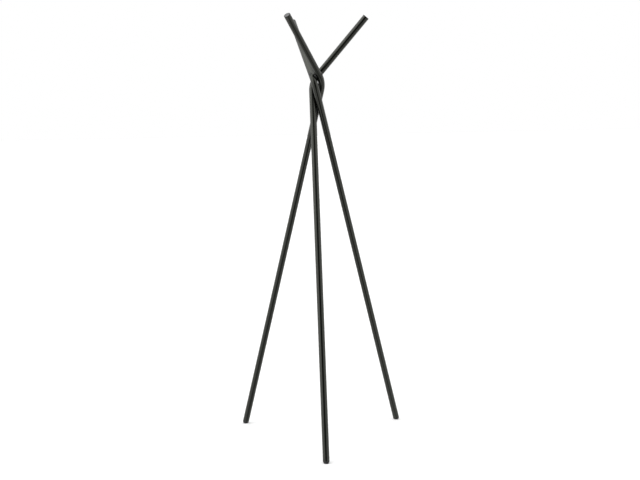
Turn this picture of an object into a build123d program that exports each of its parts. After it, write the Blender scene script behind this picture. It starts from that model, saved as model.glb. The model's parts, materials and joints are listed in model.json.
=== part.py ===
from build123d import *

import math
import os

# Tripod coat stand: three identical bent steel tubes that pass each other near the top.
#
# Each tube rises from its foot as a leg, bends once beside the stand's axis and runs on upwards and
# outwards as a coat arm. Neighbouring tubes nearly touch where they pass, and one screw joins each pair
# there, through a saddle-shaped spacer. Units are millimetres and degrees. +Z is up. The origin is on the
# floor, on the stand's axis. The front tube's foot is on -Y; the right and left tubes are the same tube
# turned 120 and 240 degrees about Z. Each function makes a piece of the front tube or of the joint between
# the front and right tubes, and main() turns copies of it into the other two places.

# Overall layout, measured on the tubes' centrelines
overall_height = 1660.0
foot_circle_radius = 366.5  # where a leg's centreline meets the floor
arm_tip_radius = 196.0  # from the stand's axis to the centre of an arm's end face
arm_turn = 86.0  # degrees from a foot round to the same tube's arm tip
vertex_height = 1406.0  # where the leg's and the arm's straight lines would cross
vertex_radius = 25.4
vertex_turn = -139.3  # degrees from a foot round to that vertex
bend_radius = 80.0
tube_count = 3
front_azimuth = -90.0

# Tube
tube_diameter = 25.4
tube_wall = 1.5

# Plug that closes an arm's end
cap_face_thickness = 2.0
cap_edge_round = 0.6
stem_depth = 18.0
stem_core_diameter = 19.6
stem_bore_diameter = 14.0
stem_rib_count = 3
stem_rib_thickness = 2.0
stem_slip = 0.05  # all round, between a plug's ribs and the tube's bore

# Foot
foot_stack = 8.0  # along the leg, from the floor to the tube's cut end
foot_collar = 1.0  # part of the foot that keeps the tube's diameter
foot_base_diameter = 20.5
pad_diameter = 18.5
pad_thickness = 2.5
pad_edge = 0.6
spigot_diameter = 8.0
spigot_height = 4.0
spigot_slip = 0.1

# Screw joint where two tubes pass
screw_diameter = 6.0
thread_slip = 0.1  # the thread is drawn as a plain shank this much thinner than its bore
screw_hole = 6.6
screw_length = 16.0
head_diameter = 10.0
head_height = 6.0
head_edge = 0.5
socket_sides = 6
socket_size = 5.0  # across flats
socket_depth = 3.0
washer_diameter = 10.4
washer_rim = 0.8
access_hole = 11.0
insert_barrel = 9.0
insert_hole = 9.2
insert_flange_diameter = 10.6
insert_flange_thickness = 0.5
insert_length = 12.0
insert_bulge_diameter = 11.6
insert_bulge_depth = 4.0  # below the inside of the tube's wall
spacer_diameter = 15.0
spacer_half_height = 3.0
recess_slip = 0.2
seat_gap = 0.03  # between a shaped seat and the tube that it lies on
button_diameter = 13.0
button_rise = 1.0  # above the tube's crest
button_edge = 0.5
button_stem_length = 3.5
button_slip = 0.1

tube_radius = tube_diameter / 2
bore_radius = tube_radius - tube_wall
step = 360 / tube_count

tube_names = ["front", "right", "left"]
joint_names = ["front_right", "right_left", "left_front"]


def around(radius, azimuth, height):
    """The point at this distance from the stand's axis, at this azimuth and height."""
    angle = math.radians(azimuth)
    return Vector(radius * math.cos(angle), radius * math.sin(angle), height)


def turned(shape, steps):
    """The shape turned about the stand's axis by whole tube positions."""
    return Rot(0, 0, steps * step) * shape


# Centreline of the front tube. An arm's end face is square to the arm, so its upper edge stands above its
# centre by the tube's radius times the arm's horizontal share: two passes settle the centre's height.
foot = around(foot_circle_radius, front_azimuth, 0)
vertex = around(vertex_radius, front_azimuth + vertex_turn, vertex_height)
leg_way = (vertex - foot).normalized()
tip = around(arm_tip_radius, front_azimuth + arm_turn, overall_height)
for _ in range(2):
    arm_way = (tip - vertex).normalized()
    edge_rise = tube_radius * math.sqrt(1 - arm_way.Z**2)
    tip = around(arm_tip_radius, front_azimuth + arm_turn, overall_height - edge_rise)
arm_way = (tip - vertex).normalized()

base_centre = foot + leg_way * (pad_thickness / leg_way.Z)  # of the foot plug's level underside
tube_start = foot + leg_way * foot_stack
tube_end = tip - arm_way * cap_face_thickness
centreline = FilletPolyline(tube_start, vertex, tube_end, radius=bend_radius)

# Where the front tube passes the right one: the shortest line between their centrelines. The joint's
# frame has +Z from the front tube to the right one, +X along the right tube, and its origin halfway.
next_line = turned(centreline, 1)
near_front, near_right = centreline.closest_points(next_line)
gap = (near_right - near_front).length - tube_diameter
cross_way = (near_right - near_front).normalized()
right_way = next_line.tangent_at(next_line.param_at_point(near_right))
joint = Plane((near_front + near_right) / 2, x_dir=right_way, z_dir=cross_way)


def swept(radius):
    """A solid round bar of this radius along the front tube's centreline."""
    section = Plane(origin=tube_start, z_dir=leg_way) * Circle(radius)
    return sweep(section, path=centreline)


def rod(radius, low, high):
    """A cylinder on the local Z axis, from one height to another."""
    return Pos(0, 0, (low + high) / 2) * Cylinder(radius, high - low)


def bent_tube():
    """The front tube, with its holes: one for the threaded insert, a pair for the screw and its access."""
    tube = swept(tube_radius) - swept(bore_radius)
    crest = -gap / 2
    tube -= joint * rod(insert_hole / 2, crest - tube_radius, crest + tube_radius)
    near_wall = gap / 2
    far_wall = gap / 2 + tube_diameter
    screw_way = rod(screw_hole / 2, near_wall - tube_radius, near_wall + tube_radius)
    access_way = rod(access_hole / 2, far_wall - tube_radius, far_wall + tube_radius)
    return tube - turned(joint * screw_way, -1) - turned(joint * access_way, -1)


def ribbed_stem():
    """The part of a plug inside a tube: a hollow core with ribs, on the local -Z side of the tube's cut."""
    stem = rod(stem_core_diameter / 2, -stem_depth, 0)
    pitch = stem_depth / stem_rib_count
    for index in range(stem_rib_count):
        top = -index * pitch - pitch / 2 + stem_rib_thickness / 2
        stem += rod(bore_radius - stem_slip, top - stem_rib_thickness, top)
    return stem - rod(stem_bore_diameter / 2, -stem_depth, -cap_face_thickness)


def arm_cap():
    """A turned plug with a flat face that ends the arm flush with the tube's outside."""
    face = rod(tube_radius, 0, cap_face_thickness)
    rim = face.edges().group_by(Axis.Z)[-1]
    face = fillet(rim, cap_edge_round)
    return Plane(origin=tube_end, z_dir=arm_way) * (face + ribbed_stem())


def foot_plug():
    """A plug whose head tapers from the tube's cut end to a level base just above the floor."""
    cut_end = Plane(origin=tube_start, z_dir=leg_way * -1)
    collar = extrude(cut_end * Circle(tube_radius), foot_collar)
    collar_end = cut_end.offset(foot_collar) * Circle(tube_radius)
    base = Plane(base_centre) * Circle(foot_base_diameter / 2)
    taper = loft([collar_end, base])
    stem = cut_end * ribbed_stem()
    recess = Pos(base_centre) * rod(spigot_diameter / 2 + spigot_slip, 0, spigot_height + spigot_slip)
    return collar + taper + stem - recess


def foot_pad():
    """A soft disc under the foot, held by a spigot; its underside is the level face on the floor."""
    disc = rod(pad_diameter / 2, -pad_thickness, 0)
    disc = chamfer(disc.edges().group_by(Axis.Z)[0], pad_edge)
    return Pos(base_centre) * (disc + rod(spigot_diameter / 2, 0, spigot_height))


def spacer():
    """A short round block between two tubes, with a seat on each side shaped to its tube."""
    envelope = swept(tube_radius + seat_gap)
    block = joint * rod(spacer_diameter / 2, -spacer_half_height, spacer_half_height)
    block -= envelope
    block -= turned(envelope, 1)
    crest = -gap / 2
    recess_top = crest + insert_flange_thickness + recess_slip
    recess = rod(insert_flange_diameter / 2 + recess_slip, crest - tube_radius, recess_top)
    return block - joint * recess - joint * rod(screw_hole / 2, -tube_radius, tube_radius)


def washer_top():
    """The height in the joint's frame of the curved washer's flat top, where the screw's head bears."""
    sagitta = bore_radius - math.sqrt(bore_radius**2 - (washer_diameter / 2)**2)
    return gap / 2 + tube_wall + sagitta + washer_rim


def curved_washer():
    """A washer with a flat top and an underside curved to the right tube's bore."""
    blank = rod(washer_diameter / 2, gap / 2, washer_top())
    bore_axis = Pos(0, 0, gap / 2 + tube_radius) * Rot(0, 90, 0)
    inside = bore_axis * Cylinder(bore_radius - seat_gap, tube_diameter)
    return joint * ((blank & inside) - rod(screw_hole / 2, 0, tube_radius))


def cap_screw():
    """A socket-head screw whose head bears on the curved washer inside the right tube."""
    under_head = washer_top()
    head = rod(head_diameter / 2, under_head, under_head + head_height)
    head = chamfer(head.edges().group_by(Axis.Z)[-1], head_edge)
    hexagon = RegularPolygon(socket_size / 2, socket_sides, major_radius=False)
    socket = Pos(0, 0, under_head + head_height - socket_depth) * extrude(hexagon, socket_depth)
    shank = rod(screw_diameter / 2 - thread_slip, under_head - screw_length, under_head)
    return joint * (head - socket + shank)


def threaded_insert():
    """A rivet nut set in the front tube's wall: flange outside, folded bulge and barrel inside."""
    crest = -gap / 2
    flange_top = crest + insert_flange_thickness
    barrel = rod(insert_barrel / 2, crest - insert_length, crest)
    barrel += rod(insert_flange_diameter / 2, crest, flange_top)
    bulge = rod(insert_bulge_diameter / 2, crest - tube_wall - insert_bulge_depth, crest)
    nut = joint * barrel + (joint * bulge & swept(bore_radius - seat_gap))
    return nut - joint * rod(screw_diameter / 2, crest - insert_length, flange_top)


def access_button():
    """A low push-in button that hides the access hole on the right tube's far side."""
    far_crest = gap / 2 + tube_diameter
    top = rod(button_diameter / 2, far_crest - tube_radius / 2, far_crest + button_rise)
    top = fillet(top.edges().group_by(Axis.Z)[-1], button_edge)
    seat = joint * top - turned(swept(tube_radius + seat_gap), 1)
    stem = joint * rod(access_hole / 2 - button_slip, far_crest - button_stem_length, far_crest)
    return seat + stem


def save(shape, name):
    """Writes one node, labelled with its name."""
    shape.label = name
    export_step(shape, f"parts/{name}.step")


def main():
    os.makedirs("parts", exist_ok=True)
    per_tube = {
        "tube": bent_tube(),
        "arm_cap": arm_cap(),
        "foot_plug": foot_plug(),
        "foot_pad": foot_pad(),
    }
    per_joint = {
        "joint_spacer": spacer(),
        "curved_washer": curved_washer(),
        "cap_screw": cap_screw(),
        "threaded_insert": threaded_insert(),
        "access_button": access_button(),
    }
    for index in range(tube_count):
        for part_name, shape in per_tube.items():
            save(turned(shape, index), f"{tube_names[index]}_{part_name}")
        for part_name, shape in per_joint.items():
            save(turned(shape, index), f"{joint_names[index]}_{part_name}")
    print("gap between neighbouring tubes", round(gap, 3))
    print("front foot pad's centre", base_centre)
    print("front tube's arm tip", tip, "and its way", arm_way)


main()
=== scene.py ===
import json
import math

import bmesh
import bpy
from mathutils import Matrix, Vector


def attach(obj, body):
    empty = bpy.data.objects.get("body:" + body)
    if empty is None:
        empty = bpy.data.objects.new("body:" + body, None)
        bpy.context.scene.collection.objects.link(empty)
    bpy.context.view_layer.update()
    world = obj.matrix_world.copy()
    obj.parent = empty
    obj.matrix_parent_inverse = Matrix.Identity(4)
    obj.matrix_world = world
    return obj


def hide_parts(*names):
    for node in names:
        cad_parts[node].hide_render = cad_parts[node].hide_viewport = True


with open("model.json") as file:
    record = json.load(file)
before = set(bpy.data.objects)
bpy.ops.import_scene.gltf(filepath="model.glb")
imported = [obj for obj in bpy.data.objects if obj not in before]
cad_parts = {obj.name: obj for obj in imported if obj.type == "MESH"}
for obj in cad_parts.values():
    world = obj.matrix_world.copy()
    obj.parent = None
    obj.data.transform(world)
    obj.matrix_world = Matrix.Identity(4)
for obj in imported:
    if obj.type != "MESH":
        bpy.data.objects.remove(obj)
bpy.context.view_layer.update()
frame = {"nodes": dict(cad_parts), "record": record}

# Tripod coat stand. Its tubes, arm caps, foot plugs and foot pads are remade here as fine meshes, and the
# pieces of its three screw joints keep their CAD shapes. Lengths are metres and angles radians, unless a
# comment says otherwise. A remade piece is built once, as the front tube's, and placed three times, a third
# of a turn apart about the stand's axis. Each is a lathed outline, and the tube and the foot plug are then
# bent to their place.

# ---------------------------------------------------------------- sizes, as in the CAD model
TUBE_NAMES = ("front", "right", "left")
JOINT_NAMES = ("front_right", "right_left", "left_front")
THIRD = math.tau / 3

TUBE_RADIUS = 0.0127
TUBE_WALL = 0.0015
BORE_RADIUS = TUBE_RADIUS - TUBE_WALL
BEND_RADIUS = 0.08
FOOT_CIRCLE = 0.3665  # where a leg's centreline meets the floor
FOOT_AZIMUTH = math.radians(-90)
VERTEX_RADIUS = 0.0254  # where the leg's and the arm's straight lines would cross
VERTEX_TURN = math.radians(-139.3)
VERTEX_HEIGHT = 1.406

CAP_FACE = 0.002
CAP_EDGE = 0.0006
STEM_DEPTH = 0.018
STEM_RADIUS = 0.0098
STEM_BORE = 0.007
RIB_COUNT = 3
RIB_THICKNESS = 0.002
STEM_SLIP = 0.00005  # all round, between a plug's ribs and the tube's bore
RIB_RADIUS = BORE_RADIUS - STEM_SLIP

FOOT_STACK = 0.008  # along the leg, from the floor to the tube's cut end
FOOT_COLLAR = 0.001
FOOT_BASE_RADIUS = 0.01025
PAD_RADIUS = 0.00925
PAD_THICKNESS = 0.0025
PAD_EDGE = 0.0006
SPIGOT_RADIUS = 0.004
SPIGOT_HEIGHT = 0.004
SPIGOT_SLIP = 0.0001

# Radii of each tube's holes for its joints' fasteners
INSERT_HOLE = 0.0046
SCREW_HOLE = 0.0033
ACCESS_HOLE = 0.0055

# ---------------------------------------------------------------- fineness
SIDES = 96
LONG_STEP = 0.03  # between a tube's rings on its straight runs
FINE_STEP = 0.0015  # in its bend and beside its holes
FINE_REACH = 0.045  # how far past the bend the rings stay that close
CORNER_STEPS = 5  # round one rounded corner of an outline
JOINT_PRECISION = 1e-8  # of a joint's place along its tubes
SHARP = math.radians(35)  # an edge that turns by more than this isn't shaded smooth
FROM_AXIS = "from_axis"  # the mesh attribute that holds each point's distance from its lathe's axis


# ---------------------------------------------------------------- the front tube's centreline
def around(radius, azimuth, height):
    """The point at this distance from the stand's axis, at this azimuth and height."""
    return Vector((radius * math.cos(azimuth), radius * math.sin(azimuth), height))


mounts = {mount["name"]: mount for mount in frame["record"]["mounts"]}
foot = around(FOOT_CIRCLE, FOOT_AZIMUTH, 0)
vertex = around(VERTEX_RADIUS, FOOT_AZIMUTH + VERTEX_TURN, VERTEX_HEIGHT)
tip = Vector(mounts["right_arm"]["pos_m"])
leg_way = (vertex - foot).normalized()
arm_way = (tip - vertex).normalized()
bend_axis = leg_way.cross(arm_way).normalized()
bend_inward = bend_axis.cross(leg_way)
bend_angle = leg_way.angle(arm_way)
bend_reach = BEND_RADIUS * math.tan(bend_angle / 2)
tube_start = foot + leg_way * FOOT_STACK
bend_start = vertex - leg_way * bend_reach
bend_end = vertex + arm_way * bend_reach
bend_centre = bend_start + bend_inward * BEND_RADIUS
leg_length = (bend_start - tube_start).length
bend_length = BEND_RADIUS * bend_angle
arm_length = (tip - bend_end).length - CAP_FACE
tube_length = leg_length + bend_length + arm_length
tube_end = bend_end + arm_way * arm_length


def station(along):
    """The centreline's point and direction at this distance from the tube's lower end."""
    if along <= leg_length:
        return tube_start + leg_way * along, leg_way
    if along >= leg_length + bend_length:
        return bend_end + arm_way * (along - leg_length - bend_length), arm_way
    angle = (along - leg_length) / BEND_RADIUS
    out = leg_way * math.sin(angle) - bend_inward * math.cos(angle)
    way = leg_way * math.cos(angle) + bend_inward * math.sin(angle)
    return bend_centre + out * BEND_RADIUS, way


def thirds(count):
    """The turn about the stand's axis by this many tube positions."""
    return Matrix.Rotation(count * THIRD, 4, "Z")


def framed(origin, way, side):
    """The matrix of a frame at origin, with +Z along way and +X along side."""
    return Matrix.Translation(origin) @ Matrix((side, way.cross(side), way)).transposed().to_4x4()


def joint_frame():
    """The frame of the joint between the front and right tubes, and half the length of the shortest line
    between their centrelines. The frame is halfway along that line, with +Z from the front tube to the
    right one and +X along the right one."""
    def separation(pair):
        return (thirds(1) @ station(pair[1])[0] - station(pair[0])[0]).length

    nearest = (leg_length + bend_length, leg_length)
    reach = bend_length
    while reach > JOINT_PRECISION:
        steps = [
            (nearest[0] + front_step * reach, nearest[1] + right_step * reach)
            for front_step in (-1, 0, 1)
            for right_step in (-1, 0, 1)]
        best = min(steps, key=separation)
        if separation(best) < separation(nearest):
            nearest = best
        else:
            reach /= 2
    on_front = station(nearest[0])[0]
    on_right = thirds(1) @ station(nearest[1])[0]
    right_way = thirds(1).to_3x3() @ station(nearest[1])[1]
    across = on_right - on_front
    return framed((on_front + on_right) / 2, across.normalized(), right_way), across.length / 2


# ---------------------------------------------------------------- meshes from outlines
def softened(corners):
    """The points of an outline of (radius, height, rounding) corners, with an arc at each rounded one."""
    points = []
    for index, (radius, height, rounding) in enumerate(corners):
        here = Vector((radius, height))
        if rounding == 0:
            points.append(here)
            continue
        before = (Vector(corners[index - 1][:2]) - here).normalized()
        after = (Vector(corners[(index + 1) % len(corners)][:2]) - here).normalized()
        half = before.angle(after) / 2
        centre = here + (before + after).normalized() * (rounding / math.sin(half))
        first = here + before * (rounding / math.tan(half)) - centre
        last = here + after * (rounding / math.tan(half)) - centre
        for step in range(CORNER_STEPS + 1):
            points.append(centre + first.slerp(last, step / CORNER_STEPS) * rounding)
    return points


def lathed(name, outline, closed=False, bend=None):
    """A mesh made by turning an outline about Z. A closed outline goes round a bore; an open one starts and
    ends on the axis, where a ring is a single point. bend says where each point of the straight piece goes.
    Each point keeps its distance from the axis, which the turned metal's rings follow."""
    shape = bmesh.new()
    from_axis = shape.verts.layers.float.new(FROM_AXIS)
    rings = []
    for radius, height in outline:
        count = SIDES if radius > 0 else 1
        angles = [math.tau * side / SIDES for side in range(count)]
        places = [around(radius, angle, height) for angle in angles]
        rings.append([shape.verts.new(bend(place) if bend else place) for place in places])
        for point in rings[-1]:
            point[from_axis] = radius
    following = rings[1:] + rings[:1] if closed else rings[1:]
    for low, high in zip(rings, following):
        for side in range(SIDES):
            after = (side + 1) % SIDES
            lower = [low[side % len(low)], low[after % len(low)]]
            upper = [high[after % len(high)], high[side % len(high)]]
            shape.faces.new(list(dict.fromkeys(lower + upper)))
    bmesh.ops.recalc_face_normals(shape, faces=shape.faces)
    mesh = bpy.data.meshes.new(name)
    shape.to_mesh(mesh)
    shape.free()
    return mesh


def smoothed(mesh):
    """Shades the mesh smooth, except across its sharp edges."""
    mesh.shade_smooth()
    mesh.set_sharp_from_angle(angle=SHARP)
    return mesh


def rod(radius, low, high):
    """A plain cylinder on Z, for cutting holes."""
    return lathed("rod", [(0, low), (radius, low), (radius, high), (0, high)])


def added(name, data, matrix=Matrix.Identity(4)):
    """A new object with this mesh, light or camera, placed by this matrix."""
    made = bpy.data.objects.new(name, data)
    bpy.context.scene.collection.objects.link(made)
    made.matrix_world = matrix
    return made


def holed(mesh, cutters):
    """The mesh with these (mesh, matrix) cutters' shapes taken away."""
    body = added("uncut", mesh)
    knives = []
    for cutter, matrix in cutters:
        knife = added("knife", cutter, matrix)
        hole = body.modifiers.new("hole", "BOOLEAN")
        hole.operation = "DIFFERENCE"
        hole.solver = "EXACT"
        hole.object = knife
        knives.append(knife)
    cut = bpy.data.meshes.new_from_object(body.evaluated_get(bpy.context.evaluated_depsgraph_get()))
    for spent in (body, *knives):
        bpy.data.objects.remove(spent)
    return cut


# ---------------------------------------------------------------- pieces
TUBE_LIP = 0.0004  # rounding of the tube's cut ends
RIB_EDGE = 0.0004
COLLAR_EDGE = 0.0003
SHOULDER = 0.00125  # rounding where the foot plug starts to taper
BASE_EDGE = 0.0008
RECESS_REACH = 1.001  # times the recess's radius, inside which the foot plug's points stand upright
PAD_TOP_EDGE = PAD_EDGE / 2
RIM_WIDTH = 0.0016  # the arm cap's turned rim, round its slightly sunk face
RIM_STEP = 0.00025
RIM_SOFT = RIM_STEP / 4
RIM_INSIDE = TUBE_RADIUS - RIM_WIDTH - RIM_STEP
RIM_FADE = 0.0001  # over which the face's colour turns to the rim's
HOLE_DEPTH = 0.006  # how far a cutter reaches each way from the tube's crest


def ring_heights():
    """How far along the tube its rings of points are: close in and near the bend, far apart elsewhere."""
    fine_low = leg_length - FINE_REACH
    fine_high = leg_length + bend_length + FINE_REACH
    stretches = (
        (0, fine_low, LONG_STEP),
        (fine_low, fine_high, FINE_STEP),
        (fine_high, tube_length, LONG_STEP))
    heights = []
    for low, high, longest in stretches:
        count = math.ceil((high - low) / longest)
        heights += [low + (high - low) * step / count for step in range(count)]
    return heights[1:]


def tube_mesh():
    """The front tube: one closed wall along the centreline, with softly rounded cut ends, and with holes for
    the threaded insert, the screw and the access button."""
    def bent(place):
        point, way = station(place.z)
        return point + bend_axis * place.x + way.cross(bend_axis) * place.y

    corners = softened([
        (TUBE_RADIUS, 0, TUBE_LIP), (TUBE_RADIUS, tube_length, TUBE_LIP),
        (BORE_RADIUS, tube_length, TUBE_LIP), (BORE_RADIUS, 0, TUBE_LIP)])
    per_corner = CORNER_STEPS + 1
    outer_foot_lip = corners[:per_corner]
    arm_lips = corners[per_corner:3 * per_corner]
    inner_foot_lip = corners[3 * per_corner:]
    outside = [(TUBE_RADIUS, height) for height in ring_heights()]
    inside = [(BORE_RADIUS, height) for height in reversed(ring_heights())]
    outline = outer_foot_lip + outside + arm_lips + inside + inner_foot_lip
    wall = lathed("tube", outline, closed=True, bend=bent)

    joint, half_gap = joint_frame()
    crest = half_gap - TUBE_RADIUS
    before = thirds(-1) @ joint
    insert_way = rod(INSERT_HOLE, -crest - HOLE_DEPTH, -crest + HOLE_DEPTH)
    screw_way = rod(SCREW_HOLE, crest - HOLE_DEPTH, crest + HOLE_DEPTH)
    far_crest = crest + 2 * TUBE_RADIUS
    access_way = rod(ACCESS_HOLE, far_crest - HOLE_DEPTH, far_crest + HOLE_DEPTH)
    return holed(wall, [(insert_way, joint), (screw_way, before), (access_way, before)])


def stem_corners():
    """The corners of a plug's ribbed stem, from the closed end of its bore to the last rib outside it."""
    corners = [
        (0, -CAP_FACE, 0), (STEM_BORE, -CAP_FACE, 0),
        (STEM_BORE, -STEM_DEPTH, RIB_EDGE), (STEM_RADIUS, -STEM_DEPTH, RIB_EDGE)]
    pitch = STEM_DEPTH / RIB_COUNT
    for index in reversed(range(RIB_COUNT)):
        low = -(index + 0.5) * pitch - RIB_THICKNESS / 2
        high = low + RIB_THICKNESS
        corners += [
            (STEM_RADIUS, low, 0), (RIB_RADIUS, low, RIB_EDGE),
            (RIB_RADIUS, high, RIB_EDGE), (STEM_RADIUS, high, 0)]
    return corners


def cap_mesh():
    """The arm cap, with +Z along the arm and its origin at the tube's cut end: a turned disc with a rounded
    edge and a face a little below its rim."""
    face = CAP_FACE - RIM_STEP
    corners = stem_corners() + [
        (STEM_RADIUS, 0, 0), (TUBE_RADIUS, 0, COLLAR_EDGE), (TUBE_RADIUS, CAP_FACE, CAP_EDGE),
        (TUBE_RADIUS - RIM_WIDTH, CAP_FACE, RIM_SOFT), (RIM_INSIDE, face, RIM_SOFT), (0, face, 0)]
    return smoothed(lathed("arm_cap", softened(corners)))


base_depth = FOOT_STACK - PAD_THICKNESS / leg_way.z  # along the leg, from the tube's cut end to the base
base_centre = foot + leg_way * (FOOT_STACK - base_depth)


def plug_mesh():
    """The foot plug: its stem and collar follow the leg, and its head turns level as it tapers to the base.
    The recess for the pad's spigot is upright."""
    upright = Vector((0, 0, 1))
    level_axis = leg_way.cross(upright).normalized()
    tilt = leg_way.angle(upright)
    into_leg = level_axis.cross(leg_way)
    recess = SPIGOT_RADIUS + SPIGOT_SLIP
    recess_end = base_depth - SPIGOT_HEIGHT - SPIGOT_SLIP

    def settled(place):
        if place.xy.length < recess * RECESS_REACH and place.z > 0:
            return base_centre + Vector((place.x, place.y, base_depth - place.z))
        share = min(max((place.z - FOOT_COLLAR) / (base_depth - FOOT_COLLAR), 0), 1)
        turn = Matrix.Rotation(share * tilt, 3, level_axis)
        return tube_start - leg_way * place.z + turn @ (level_axis * place.x + into_leg * place.y)

    corners = stem_corners() + [
        (STEM_RADIUS, 0, 0), (TUBE_RADIUS, 0, COLLAR_EDGE), (TUBE_RADIUS, FOOT_COLLAR, SHOULDER),
        (FOOT_BASE_RADIUS, base_depth, BASE_EDGE), (recess, base_depth, 0),
        (recess, recess_end, 0), (0, recess_end, 0)]
    return smoothed(lathed("foot_plug", softened(corners), bend=settled))


def pad_mesh():
    """The foot pad: a disc and the spigot that holds it. Its origin is the middle of the plug's base."""
    corners = [
        (0, SPIGOT_HEIGHT, 0), (SPIGOT_RADIUS, SPIGOT_HEIGHT, PAD_TOP_EDGE), (SPIGOT_RADIUS, 0, 0),
        (PAD_RADIUS, 0, PAD_TOP_EDGE), (PAD_RADIUS, -PAD_THICKNESS, PAD_EDGE), (0, -PAD_THICKNESS, 0)]
    return smoothed(lathed("foot_pad", softened(corners)))


# ---------------------------------------------------------------- materials
NOISE_SPAN = (0.3, 0.7)  # where most of a noise's values lie
PATCHES = (0.45, 0.75)  # from a noise's middle to its peaks, which leaves separate patches


def feed(tree, socket, value):
    """Gives the socket a number, a colour or another node's output."""
    if isinstance(value, bpy.types.NodeSocket):
        tree.links.new(value, socket)
    else:
        socket.default_value = value


def node(tree, kind, settings=(), **inputs):
    """A new node with these settings and inputs."""
    made = tree.nodes.new(kind)
    for name, value in dict(settings).items():
        setattr(made, name, value)
    for name, value in inputs.items():
        feed(tree, made.inputs[name], value)
    return made


def principled(name, **sockets):
    """A new material with these of its shader's sockets set, as (material, node tree, shader)."""
    material = bpy.data.materials.new(name)
    material.use_nodes = True
    shader = material.node_tree.nodes["Principled BSDF"]
    for socket, value in sockets.items():
        shader.inputs[socket.replace("_", " ")].default_value = value
    return material, material.node_tree, shader


def place_of(tree):
    """The object's own coordinates."""
    return node(tree, "ShaderNodeTexCoord").outputs["Object"]


def noise(tree, place, size, detail=2.0, distortion=0.0):
    """Noise from 0 to 1, whose features are about this many metres across."""
    inputs = {"Vector": place, "Scale": 1 / size, "Detail": detail, "Distortion": distortion}
    return node(tree, "ShaderNodeTexNoise", **inputs).outputs["Fac"]


def ranged(tree, value, before, after=(0, 1)):
    """The value carried from the range before to the range after, and kept inside that one."""
    made = node(tree, "ShaderNodeMapRange", Value=value)
    for index, limit in enumerate((*before, *after), start=1):
        feed(tree, made.inputs[index], limit)
    return made.outputs["Result"]


def blended(tree, share, first, second):
    """A colour between two others."""
    made = node(tree, "ShaderNodeMix", {"data_type": "RGBA"})
    for index, value in ((0, share), (6, first), (7, second)):
        feed(tree, made.inputs[index], value)
    return made.outputs[2]


def math_node(tree, operation, first, second):
    """One sum on two values."""
    made = node(tree, "ShaderNodeMath", {"operation": operation})
    for index, value in enumerate((first, second)):
        feed(tree, made.inputs[index], value)
    return made.outputs[0]


def bumped(tree, shader, layers):
    """Gives the shader relief from (height, depth) layers. A height from 0 to 1 rises by its depth."""
    normal = None
    for height, depth in layers:
        made = node(tree, "ShaderNodeBump", Strength=1.0, Distance=depth, Height=height)
        if normal:
            tree.links.new(normal, made.inputs["Normal"])
        normal = made.outputs["Normal"]
    tree.links.new(normal, shader.inputs["Normal"])


def grey(value, green=0.0):
    """An opaque grey with this share more green and less blue."""
    return (value, value * (1 + green), value * (1 - green), 1)


def powder_coat():
    """Satin, greenish-black powder coat: orange peel, faint clouding, fine rubbed marks and floor dust."""
    material, tree, shader = principled("satin_powder_coat", IOR=1.5, Specular_Tint=(0.97, 1.0, 0.89, 1))
    place = place_of(tree)
    clouds = noise(tree, place, 0.06, detail=3)
    rubbed = ranged(tree, noise(tree, place, 0.011, detail=5, distortion=1.5), (0.52, 0.72))
    height = node(tree, "ShaderNodeSeparateXYZ", Vector=place).outputs["Z"]
    near_floor = ranged(tree, height, (0.01, 0.09), (1, 0))
    specks = ranged(tree, noise(tree, place, 0.004, detail=6), PATCHES)
    dust = math_node(tree, "MULTIPLY", near_floor, specks)

    dark_coat = grey(0.0014, green=0.1)
    pale_coat = grey(0.0028, green=0.1)
    floor_dust = grey(0.05, green=-0.06)
    coat = blended(tree, clouds, dark_coat, pale_coat)
    dust_cover = math_node(tree, "MULTIPLY", dust, 0.14)
    tree.links.new(blended(tree, dust_cover, coat, floor_dust), shader.inputs["Base Color"])

    satin = ranged(tree, clouds, NOISE_SPAN, (0.15, 0.20))
    duller_where_rubbed = math_node(tree, "MULTIPLY", rubbed, 0.06)
    duller_where_dusty = math_node(tree, "MULTIPLY", dust, 0.12)
    worn = math_node(tree, "ADD", satin, duller_where_rubbed)
    tree.links.new(math_node(tree, "ADD", worn, duller_where_dusty), shader.inputs["Roughness"])

    orange_peel = noise(tree, place, 0.0016, detail=2)
    grain = noise(tree, place, 0.0004, detail=3)
    bumped(tree, shader, [(orange_peel, 0.000012), (grain, 0.000003)])
    return material


def turned_aluminium():
    """Satin aluminium with a lathe's fine rings and scratches, inside a rim blackened like the tube."""
    material, tree, shader = principled("turned_aluminium", Metallic=1.0, Anisotropic=0.4)
    from_axis = node(tree, "ShaderNodeAttribute", {"attribute_name": FROM_AXIS}).outputs["Fac"]
    along_radius = node(tree, "ShaderNodeCombineXYZ", X=from_axis).outputs["Vector"]
    rings = noise(tree, along_radius, 0.00022, detail=4)
    scratches = noise(tree, place_of(tree), 0.002, detail=5)
    rim = ranged(tree, from_axis, (RIM_INSIDE, RIM_INSIDE + RIM_FADE))
    face = blended(tree, scratches, grey(0.07), grey(0.11))
    blackened = grey(0.02, green=0.05)
    tree.links.new(blended(tree, rim, face, blackened), shader.inputs["Base Color"])
    tree.links.new(ranged(tree, scratches, NOISE_SPAN, (0.34, 0.46)), shader.inputs["Roughness"])
    bumped(tree, shader, [(rings, 0.000006), (scratches, 0.000004)])
    return material


def moulded_plastic():
    """Black moulded plastic with a fine spark-eroded grain and a duller, slightly dusty bloom."""
    material, tree, shader = principled("black_moulded_plastic", IOR=1.49)
    place = place_of(tree)
    bloom = noise(tree, place, 0.005, detail=4)
    grain = noise(tree, place, 0.00025, detail=3)
    tree.links.new(blended(tree, bloom, grey(0.003), grey(0.006)), shader.inputs["Base Color"])
    tree.links.new(ranged(tree, bloom, NOISE_SPAN, (0.42, 0.55)), shader.inputs["Roughness"])
    bumped(tree, shader, [(grain, 0.000008)])
    return material


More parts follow.
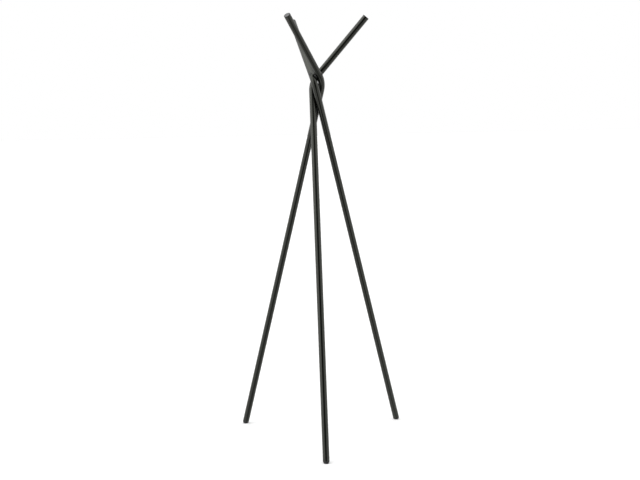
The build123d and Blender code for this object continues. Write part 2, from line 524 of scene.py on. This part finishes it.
def pad_rubber():
    """Matt black rubber, greyed by dust in patches."""
    material, tree, shader = principled("foot_rubber", IOR=1.52)
    place = place_of(tree)
    dust_span = (0, 0.5)
    dust = ranged(tree, noise(tree, place, 0.003, detail=6), PATCHES, dust_span)
    pores = noise(tree, place, 0.0006, detail=4)
    clean = grey(0.006)
    dusty = grey(0.03, green=-0.05)
    tree.links.new(blended(tree, dust, clean, dusty), shader.inputs["Base Color"])
    tree.links.new(ranged(tree, dust, dust_span, (0.65, 0.85)), shader.inputs["Roughness"])
    bumped(tree, shader, [(pores, 0.00003)])
    return material


def zinc_steel():
    """Bright zinc-plated steel with a faint spangle and drawing marks."""
    material, tree, shader = principled("zinc_plated_steel", Metallic=1.0)
    place = place_of(tree)
    grain_size = 0.0012
    spangle = node(tree, "ShaderNodeTexVoronoi", Vector=place, Scale=1 / grain_size).outputs["Distance"]
    marks = noise(tree, place, 0.0008, detail=5)
    bluish_zinc = (0.52, 0.54, 0.57, 1)
    pale_zinc = (0.66, 0.67, 0.68, 1)
    tree.links.new(blended(tree, spangle, bluish_zinc, pale_zinc), shader.inputs["Base Color"])
    tree.links.new(ranged(tree, marks, NOISE_SPAN, (0.24, 0.4)), shader.inputs["Roughness"])
    bumped(tree, shader, [(marks, 0.000004)])
    return material


coating = powder_coat()
aluminium = turned_aluminium()
plastic = moulded_plastic()
rubber = pad_rubber()
zinc = zinc_steel()


# ---------------------------------------------------------------- placing
def place_three(part, mesh, matrix, material):
    """Places copies of the front tube's piece at all three tubes, each standing for its CAD node. A piece's
    place is in its mesh, as a CAD node's is."""
    mesh.materials.append(material)
    for index, tube in enumerate(TUBE_NAMES):
        placed = mesh.copy()
        placed.transform(thirds(index) @ matrix)
        piece = added(f"{tube}_{part}_fine", placed)
        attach(piece, "root")
        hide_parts(f"{tube}_{part}")


def finish_cad(part, material):
    """Gives the three joints' CAD nodes of this kind their material."""
    for joint in JOINT_NAMES:
        piece = frame["nodes"][f"{joint}_{part}"]
        piece.data.materials.clear()
        piece.data.materials.append(material)


place_three("tube", smoothed(tube_mesh()), Matrix.Identity(4), coating)
place_three("arm_cap", cap_mesh(), framed(tube_end, arm_way, bend_axis), aluminium)
place_three("foot_plug", plug_mesh(), Matrix.Identity(4), plastic)
place_three("foot_pad", pad_mesh(), Matrix.Translation(base_centre), rubber)
finish_cad("joint_spacer", plastic)
finish_cad("access_button", plastic)
finish_cad("curved_washer", zinc)
finish_cad("cap_screw", zinc)
finish_cad("threaded_insert", zinc)

# ---------------------------------------------------------------- studio
FLOOR_SIDE = 80.0
FLOOR_CELLS = 8  # along each side
FLOOR_ALBEDO = 0.8
FLOOR_UNEVENNESS = 0.01  # of the albedo
FLOOR_CLOUDS = 0.5
ROOM_LEVEL = 1.54  # of the light from the room
BACKDROP_LEVEL = 1.0  # of the plain white that the camera itself sees
# Where the room that the object's gloss mirrors is brighter or darker than ROOM_LEVEL, as
# (way from the object, degrees to its full strength, degrees to its end, times the level).
ROOM_TONES = (
    (Vector((0.0, -0.97, 0.24)), 18, 42, 0.0),  # the unlit studio behind the camera
    (Vector((0.0, -0.93, -0.37)), 11, 25, 0.08),  # the floor in front of the camera
    (Vector((0.36, -0.50, -0.79)), 10, 26, 0.25),  # the floor at the front right
    (Vector((0.0, 0.05, -1.0)), 20, 30, 0.2),  # the floor under the stand
    (Vector((-0.90, -0.25, -0.38)), 18, 46, 0.6),  # the lower walls at the left
    (Vector((0.90, -0.25, -0.38)), 18, 46, 0.65),  # and at the right
    (Vector((0.03, 0.99, -0.10)), 22, 58, 0.2),  # the gap behind the stand
    (Vector((-0.80, -0.25, 0.55)), 20, 55, 1.6),  # a large soft light at the left
)
SOFTBOX_CENTRE = Vector((-0.4, 0.2, 4.2))
SOFTBOX_TARGET = Vector((0.0, 0.0, 1.0))
SOFTBOX_SIDE = 3.0
SOFTBOX_POWER = 30  # watts


def make_floor():
    """A large, plain, pale floor. The object's gloss mirrors the room's own lower half instead of it."""
    shape = bmesh.new()
    bmesh.ops.create_grid(shape, x_segments=FLOOR_CELLS, y_segments=FLOOR_CELLS, size=FLOOR_SIDE / 2)
    mesh = bpy.data.meshes.new("studio_floor")
    shape.to_mesh(mesh)
    shape.free()
    material, tree, shader = principled("pale_floor", Roughness=0.9, Specular_IOR_Level=0.0)
    clouds = noise(tree, place_of(tree), FLOOR_CLOUDS)
    pale = grey(FLOOR_ALBEDO)
    paler = grey(FLOOR_ALBEDO + FLOOR_UNEVENNESS)
    tree.links.new(blended(tree, clouds, pale, paler), shader.inputs["Base Color"])
    mesh.materials.append(material)
    floor = added("studio_floor", mesh)
    floor.visible_glossy = False


def toned(tree, way, toward, full, end, times):
    """The share of the room's level along way: 1, but times near the direction toward. full and end are how
    far from that direction, in degrees, the change is whole and where it ends."""
    facing = node(tree, "ShaderNodeVectorMath", {"operation": "DOT_PRODUCT"})
    for index, value in enumerate((way, toward.normalized())):
        feed(tree, facing.inputs[index], value)
    edges = [math.cos(math.radians(angle)) for angle in (end, full)]
    return ranged(tree, facing.outputs["Value"], edges, (1, times))


def make_room():
    """A white room with the tones above; the camera itself sees plain white past the floor."""
    world = bpy.data.worlds.new("studio")
    world.use_nodes = True
    bpy.context.scene.world = world
    tree = world.node_tree
    tree.nodes.clear()
    way = node(tree, "ShaderNodeTexCoord").outputs["Generated"]
    level = ROOM_LEVEL
    for tone in ROOM_TONES:
        level = math_node(tree, "MULTIPLY", toned(tree, way, *tone), level)
    white = grey(1.0)
    room = node(tree, "ShaderNodeBackground", Color=white, Strength=level)
    backdrop = node(tree, "ShaderNodeBackground", Color=white, Strength=BACKDROP_LEVEL)
    seen = node(tree, "ShaderNodeLightPath").outputs["Is Camera Ray"]
    mixed = node(tree, "ShaderNodeMixShader", Fac=seen)
    tree.links.new(room.outputs[0], mixed.inputs[1])
    tree.links.new(backdrop.outputs[0], mixed.inputs[2])
    node(tree, "ShaderNodeOutputWorld", Surface=mixed.outputs[0])


def make_softbox():
    """A soft square light overhead. It shows in the object's gloss, and the room lights the floor."""
    light = bpy.data.lights.new("overhead_softbox", "AREA")
    light.size = SOFTBOX_SIDE
    light.energy = SOFTBOX_POWER
    lamp = added("overhead_softbox", light)
    lamp.location = SOFTBOX_CENTRE
    lamp.rotation_euler = (SOFTBOX_TARGET - SOFTBOX_CENTRE).to_track_quat("-Z", "Y").to_euler()
    lamp.visible_diffuse = False


make_floor()
make_room()
make_softbox()

# ---------------------------------------------------------------- camera
CAMERA_DISTANCE = 4.294  # from the stand's axis
CAMERA_HEIGHT = 1.3255
CAMERA_ORBIT = math.radians(-1.762)
CAMERA_TURN = math.radians(-0.04)
CAMERA_PITCH = math.radians(7.123)
CAMERA_ROLL = math.radians(-1.022)
CAMERA_LENS = 61.63  # millimetres, as the sensor's width is
CAMERA_SENSOR = 36
CAMERA_CLIP_END = 200  # well past the floor's far corners

camera_place = (
    Matrix.Rotation(CAMERA_ORBIT, 4, "Z")
    @ Matrix.Translation((0, -CAMERA_DISTANCE, CAMERA_HEIGHT))
    @ Matrix.Rotation(CAMERA_TURN, 4, "Z")
    @ Matrix.Rotation(math.pi / 2 - CAMERA_PITCH, 4, "X")
    @ Matrix.Rotation(CAMERA_ROLL, 4, "Z"))
camera = added("camera", bpy.data.cameras.new("camera"), camera_place)
camera.data.sensor_width = CAMERA_SENSOR
camera.data.lens = CAMERA_LENS
camera.data.clip_end = CAMERA_CLIP_END
bpy.context.scene.camera = camera
bpy.context.scene.view_settings.view_transform = "Standard"
